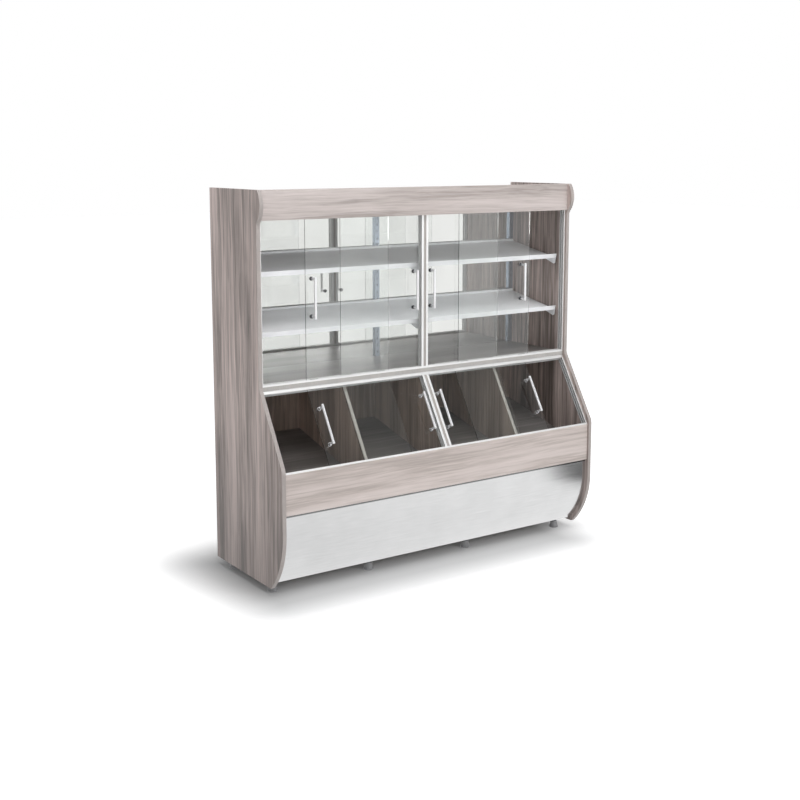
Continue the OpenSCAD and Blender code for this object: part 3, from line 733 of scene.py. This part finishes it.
def handle_knobs(door, material):
    """The barrels at a handle's feet, and the domed nuts behind the glass."""
    place, x, face, middle = handle_seat(door)
    shape = bmesh.new()
    for offset in POST_OFFSETS:
        front = Vector((x, face, middle + offset))
        turned(shape, POST_BARREL, front, FORWARD)
        turned(shape, POST_NUT, front + REARWARD * GLASS_THICKNESS, REARWARD)
        turned(shape, POST_SCREW, front, REARWARD, 20)
    bmesh.ops.transform(shape, matrix=place, verts=shape.verts)
    finish_piece(door + "_knobs", shape, material, door + "_door")


def foot_bodies(material):
    """Eight moulded feet with a rounded base, finger flutes and a collar."""
    shape = bmesh.new()
    for place in FOOT_PLACES:
        turned(shape, FOOT_PROFILE, Vector((*place, 0)), UP, FOOT_STEPS)
    for vert in shape.verts:
        if FLUTE_LOW < vert.co.z < FLUTE_HIGH:
            x, y = min(FOOT_PLACES, key=lambda place: math.dist(place, vert.co.xy))
            turn = math.atan2(vert.co.y - y, vert.co.x - x)
            # Two of every four points round the foot are drawn in
            if round(turn / (math.tau / FOOT_STEPS)) % 4 in (0, 1):
                vert.co.x = x + (vert.co.x - x) * FLUTE_SHARE
                vert.co.y = y + (vert.co.y - y) * FLUTE_SHARE
    feet = finish_piece(
        "levelling_foot_bodies",
        shape,
        material,
        "cabinet",
        smooth=50.0,
    )
    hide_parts("levelling_feet")


def foot_studs(material):
    """The threaded studs of the feet, each with a lock nut under its plate."""
    shape = bmesh.new()
    profile = [(0.0, STUD_FOOT), (STUD_RADIUS, STUD_FOOT)]
    for turn in range(THREAD_TURNS):
        height = THREAD_START + THREAD_PITCH * turn
        profile += [(THREAD_ROOT, height), (STUD_RADIUS, height + THREAD_PITCH / 2)]
    profile += [(0.0044, STUD_TOP - 0.0010), (0.0, STUD_TOP)]
    for x, y in FOOT_PLACES:
        turned(shape, profile, Vector((x, y, 0)), UP, 16)
        seat = Matrix.Translation((x, y, NUT_HEIGHT))
        nut = cone(shape, 6, NUT_RADIUS, NUT_RADIUS, NUT_THICKNESS, seat)
        edges = {edge for vert in nut for edge in vert.link_edges}
        rims = [e for e in edges if abs(e.verts[0].co.z - e.verts[1].co.z) < 1e-5]
        soften(shape, rims, NUT_EASE, 2)
    name = "levelling_foot_studs"
    finish_piece(name, shape, material, "cabinet", smooth=35.0)


def cross_recess(shape, top, x, z):
    """Sinks a cross into the flat top face of a screw's head."""
    bmesh.ops.inset_individual(shape, faces=[top], thickness=RECESS_RIM)
    for vert in top.verts:
        turn = math.atan2(vert.co.z - z, vert.co.x - x)
        off_arm = min(abs(turn - k * math.pi / 2) for k in range(-2, 3))
        reach = CROSS_REACH if off_arm < CROSS_ARM_HALF_ANGLE else CROSS_WAIST
        vert.co.x = x + reach * math.cos(turn)
        vert.co.z = z + reach * math.sin(turn)
    floor = bmesh.ops.extrude_discrete_faces(shape, faces=[top])
    verts = [vert for face in floor["faces"] for vert in face.verts]
    bmesh.ops.translate(shape, vec=FORWARD * CROSS_DEPTH, verts=verts)


def screw_heads(material):
    """Cross-recessed pan heads along the rear board's three fixing lines."""
    shape = bmesh.new()
    low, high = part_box("rear_screws")
    facing_rear = Matrix.Rotation(math.radians(-90), 4, "X")
    middle = high[1] - HEAD_SET_IN - HEAD_THICKNESS / 2
    radii = (HEAD_RADIUS, HEAD_TOP_RADIUS)
    for x in SCREW_X:
        for z in (high[2] - HEAD_RADIUS, DECK_MIDDLE, low[2] + HEAD_RADIUS):
            seat = Matrix.Translation((x, middle, z)) @ facing_rear
            head = cone(shape, 24, *radii, HEAD_THICKNESS, seat)
            faces = {face for vert in head for face in vert.link_faces}
            top = max(faces, key=lambda face: face.calc_center_median().y)
            cross_recess(shape, top, x, z)
            neck = Vector((x, high[1] - HEAD_THICKNESS, z))
            turned(shape, SCREW_SHANK, neck, FORWARD, 16)
    heads = finish_piece("rear_screw_heads", shape, material, "cabinet")
    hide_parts("rear_screws")


def floor_distance(tree):
    """Distance on the floor from the shaded rectangle under the cabinet."""
    apart = object_place(tree, shift=SHADED_SHIFT)
    for operation, value in (
        ("ABSOLUTE", (0, 0, 0)),
        ("SUBTRACT", SHADED_HALF_SIZE),
        ("MAXIMUM", (0, 0, 0)),
    ):
        step = tree.nodes.new("ShaderNodeVectorMath")
        step.operation = operation
        step.inputs[1].default_value = value
        tree.links.new(apart, step.inputs[0])
        apart = step.outputs["Vector"]
    reach = tree.nodes.new("ShaderNodeVectorMath")
    reach.operation = "LENGTH"
    tree.links.new(apart, reach.inputs[0])
    return reach.outputs["Value"]


def mirrored_floor(tree):
    """The floor as reflections see it: white, brighter to the right, with a painted
    dark reflection area off the right end.
    """
    parts = split(tree, object_place(tree))

    # The painted dark reflection lies beyond the line X + 0.65 Y = 0.77, between two
    # depths
    slant = calc(tree, "MULTIPLY", parts["Y"], 0.65)
    beyond = calc(tree, "ADD", parts["X"], calc(tree, "ADD", slant, -0.77))
    off_end = spread(tree, beyond, (-0.15, 0.03), (0.0, 0.86))
    front = spread(tree, parts["Y"], (-1.9, -1.5), (0.0, 1.0))
    rear = spread(tree, parts["Y"], (-0.95, -0.45), (1.0, 0.0))
    dark = calc(tree, "MULTIPLY", off_end, calc(tree, "MULTIPLY", front, rear))

    # Painted reflection: the floor grows brighter to the right in reflections
    level = spread(tree, parts["X"], (-0.6, 1.2), (1.0, 1.12))
    lit = calc(tree, "SUBTRACT", 1.0, dark)
    return white_emission(tree, calc(tree, "MULTIPLY", level, lit))


def make_floor():
    """A pale floor: painted darker round the cabinet as shadow, on top of the shadow
    it keeps, and white beyond it.
    """
    mesh = bpy.data.meshes.new("studio_floor")
    shape = bmesh.new()
    bmesh.ops.create_grid(shape, x_segments=2, y_segments=2, size=FLOOR_HALF_SIZE)
    shape.to_mesh(mesh)
    shape.free()
    floor = add_object("studio_floor", mesh)
    material, tree, shader = new_material("pale_floor", 0.6)
    shader.inputs["Specular IOR Level"].default_value = 0.2
    path = tree.nodes.new("ShaderNodeLightPath").outputs
    # Painted shadow: the floor's own colour is darker near the cabinet
    far = spread(tree, floor_distance(tree), (0.0, SHADOW_REACH), (0.0, 1.0))
    dark, light = times(WHITE, NEAR_FLOOR), times(WHITE, FAR_FLOOR)
    paint(tree, shader, far, [(0.0, dark), (0.8, light)])

    seen = calc(tree, "MAXIMUM", path["Is Camera Ray"], path["Is Transmission Ray"])
    rise = calc(tree, "MULTIPLY", calc(tree, "POWER", far, GLOW_CURVE), FAR_GLOW)
    glow = white_emission(tree, calc(tree, "MULTIPLY", seen, rise))
    both = tree.nodes.new("ShaderNodeAddShader")
    tree.links.new(shader.outputs["BSDF"], both.inputs[0])
    tree.links.new(glow, both.inputs[1])
    lit = both.outputs["Shader"]
    show(tree, mixed_shader(tree, path["Is Glossy Ray"], lit, mirrored_floor(tree)))
    mesh.materials.append(material)


def background(tree, colour, strength):
    """A plain background shader."""
    shader = tree.nodes.new("ShaderNodeBackground")
    shader.inputs["Color"].default_value = (*colour, 1.0)
    shader.inputs["Strength"].default_value = strength
    return shader


def make_world():
    """A world white to the eye, softer as a light, and dimmed overhead in mirrors."""
    world = bpy.data.worlds.new("studio")
    world.use_nodes = True
    bpy.context.scene.world = world
    tree = world.node_tree
    tree.nodes.clear()
    tree.nodes.new("ShaderNodeOutputWorld")
    seen = background(tree, WHITE, 1.0)
    soft = background(tree, (0.97, 0.985, 1.0), WORLD_LIGHT)
    path = tree.nodes.new("ShaderNodeLightPath").outputs
    direct = calc(tree, "MAXIMUM", path["Is Camera Ray"], path["Is Glossy Ray"])
    direct = calc(tree, "MAXIMUM", direct, path["Is Transmission Ray"])
    soft_sky, seen_sky = soft.outputs["Background"], seen.outputs["Background"]
    show(tree, mixed_shader(tree, direct, soft_sky, seen_sky))

    towards = tree.nodes.new("ShaderNodeTexCoord")
    height = split(tree, towards.outputs["Generated"])["Z"]
    overhead = spread(tree, height, (0.20, 0.55), (0.0, CEILING_DIM))
    dimmed = calc(tree, "MULTIPLY", overhead, path["Is Glossy Ray"])
    tree.links.new(calc(tree, "SUBTRACT", 1.0, dimmed), seen.inputs["Strength"])


def soft_lamp(name, place, aim, size, power):
    """An area lamp aimed at a point; size is its width and height, power in watts."""
    data = bpy.data.lights.new(name, "AREA")
    data.shape = "RECTANGLE"
    data.size, data.size_y = size
    data.energy = power
    lamp = add_object(name, data)
    lamp.location = place
    heading = Vector(aim) - Vector(place)
    lamp.rotation_euler = heading.to_track_quat("-Z", "Y").to_euler()


make_camera()

upright_laminate = wood_laminate(
    "upright_laminate",
    ALONG_Z,
    shade_set((0.432, 0.354, 0.328), (0.36, 0.71), (1.28, 1.68)),
    # The side panels get painted shade, darker towards the floor
    low_shade=0.60,
)
level_laminate = wood_laminate(
    "level_laminate",
    ALONG_X,
    shade_set((0.170, 0.155, 0.148), (0.64, 0.84), (1.16, 1.34)),
    shift=(0.3, 1.7, 0.4),
)
front_laminate = wood_laminate(
    "front_laminate",
    ALONG_X,
    shade_set((0.530, 0.464, 0.436), (0.74, 0.89), (1.07, 1.16)),
    pitch=1.5,
    sway=0.026,
    shift=(2.9, 0.3, 1.6),
)
header_laminate = wood_laminate(
    "header_laminate",
    ALONG_X,
    shade_set((0.450, 0.396, 0.376), (0.66, 0.87), (1.09, 1.21)),
    pitch=1.3,
    sway=0.034,
    shift=(0.4, 2.3, 1.9),
)
bin_laminate = wood_laminate(
    "bin_laminate",
    ALONG_Z,
    shade_set((0.330, 0.258, 0.218), (0.58, 0.82), (1.20, 1.42)),
    shift=(1.3, 0.9, 0.2),
)
panel_banding = edge_banding("panel_banding", (0.375, 0.335, 0.318))
trim_banding = edge_banding("trim_banding", (0.42, 0.39, 0.36))
deck_banding = edge_banding("deck_banding", (0.42, 0.402, 0.385))
pine = softwood("pine_battens")
frame_metal = drawn_metal(
    "anodised_frame", ANODISED, ANODISED_ROUGHNESS, ALONG_X, metallic=0.45
)
upper_post = shaded_lined_channel("anodised_upper_post", UPRIGHT_FRAME)
lower_post = shaded_lined_channel("anodised_lower_post", SLOPING_FRAME)
upper_mullion_metal = channel_pair("anodised_upper_mullion", UPRIGHT_FRAME)
lower_mullion_metal = channel_pair("anodised_lower_mullion", SLOPING_FRAME)
kick_metal = kick_sheet_metal("satin_kick", (0.67, 0.672, 0.675), 0.15)
plated = drawn_metal("zinc_plate", (0.50, 0.54, 0.60), 0.40, ALONG_Z)
standard_steel = drawn_metal("standard_steel", (0.27, 0.31, 0.37), 0.34, ALONG_Z)
bar_metal = drawn_metal(
    "satin_bar",
    (0.80, 0.80, 0.81),
    0.36,
    ALONG_Z,
    fine=HANDLE_LINES,
    depth=0.00005,
    metallic=0.5,
)
dark_chrome, pale_chrome = [
    drawn_metal(name, colour, roughness, ALONG_Y, fine=HANDLE_LINES, depth=0.00003)
    for name, colour, roughness in (
        ("dark_chrome", (0.16, 0.16, 0.17), 0.20),
        ("pale_chrome", (0.44, 0.44, 0.45), 0.28),
    )
]
white_coat = coated_sheet("white_shelf_coat", (0.86, 0.865, 0.88), 0.35)
mirror_face = silvered_mirror("back_mirror")
pane = door_pane("door_pane")
foot_plastic = moulded_plastic("foot_plastic", (0.22, 0.22, 0.225), 0.36)
nylon = moulded_plastic("shoe_nylon", (0.035, 0.036, 0.038), 0.45)

dress(["left_side_panel", "right_side_panel"], upright_laminate)
dress(["rear_board", "left_divider", "centre_divider", "right_divider"], bin_laminate)
dress(["top_board", "deck_board", "bin_floor", "base_board"], level_laminate)
dress(["header_board"], header_laminate)
dress(["lower_front_board"], front_laminate)
dress(["panel_edge_bands"], panel_banding)
dress(["divider_edge_trims"], trim_banding)
dress(["deck_edge_cap"], deck_banding)
dress(["bin_floor_cleats", "front_support_rail"], pine)
dress(["transom_rail", "upper_top_track", "upper_bottom_track"], frame_metal)
dress(["lower_top_track", "lower_bottom_track"], frame_metal)
dress(["upper_jambs"], upper_post)
dress(["lower_jambs"], lower_post)
dress(["upper_mullion"], upper_mullion_metal)
dress(["lower_mullion"], lower_mullion_metal)
dress(["kick_sheet"], kick_metal)
dress(["shelf_standards"], standard_steel)
dress(["foot_plates", "rear_screws"], plated)
dress(["upper_shelf", "middle_shelf"], white_coat)
dress(["upper_shelf_brackets", "middle_shelf_brackets"], white_coat)
dress(["back_mirror"], mirror_face)
dress(["levelling_feet"], foot_plastic)
for part, material in (("glass", pane), ("handle", bar_metal), ("shoes", nylon)):
    dress([f"{door}_{part}" for door in DOORS], material)

for node, width, material, slot in (
    ("header_board", 0.0005, header_laminate, "laminate_pale"),
    ("lower_front_board", 0.0005, front_laminate, "laminate_pale"),
    ("panel_edge_bands", 0.0007, panel_banding, "edge_band"),
    ("divider_edge_trims", 0.0005, trim_banding, "edge_band"),
):
    eased_copy(node, width, 2, material, "cabinet")
for door in DOORS:
    eased_copy(door + "_glass", 0.0006, 1, pane, door + "_door")
    handle_bar(door, bar_metal)
    handle_knobs(door, dark_chrome if door.startswith("upper") else pale_chrome)
foot_bodies(foot_plastic)
foot_studs(plated)
screw_heads(plated)

make_floor()
make_world()
for name, place, aim, size, power in (
    ("key_lamp", (2.0, -5.4, 2.6), (0.0, 0.0, 0.9), (3.0, 1.8), 92.0),
    ("fill_lamp", (-4.4, -4.4, 2.0), (0.0, 0.0, 0.8), (2.4, 2.0), 44.0),
    ("top_lamp", (0.0, -1.6, 4.8), (0.0, -0.3, 0.0), (3.4, 2.6), 105.0),
):
    soft_lamp(name, place, aim, size, power)

bpy.context.scene.view_settings.view_transform = "Standard"
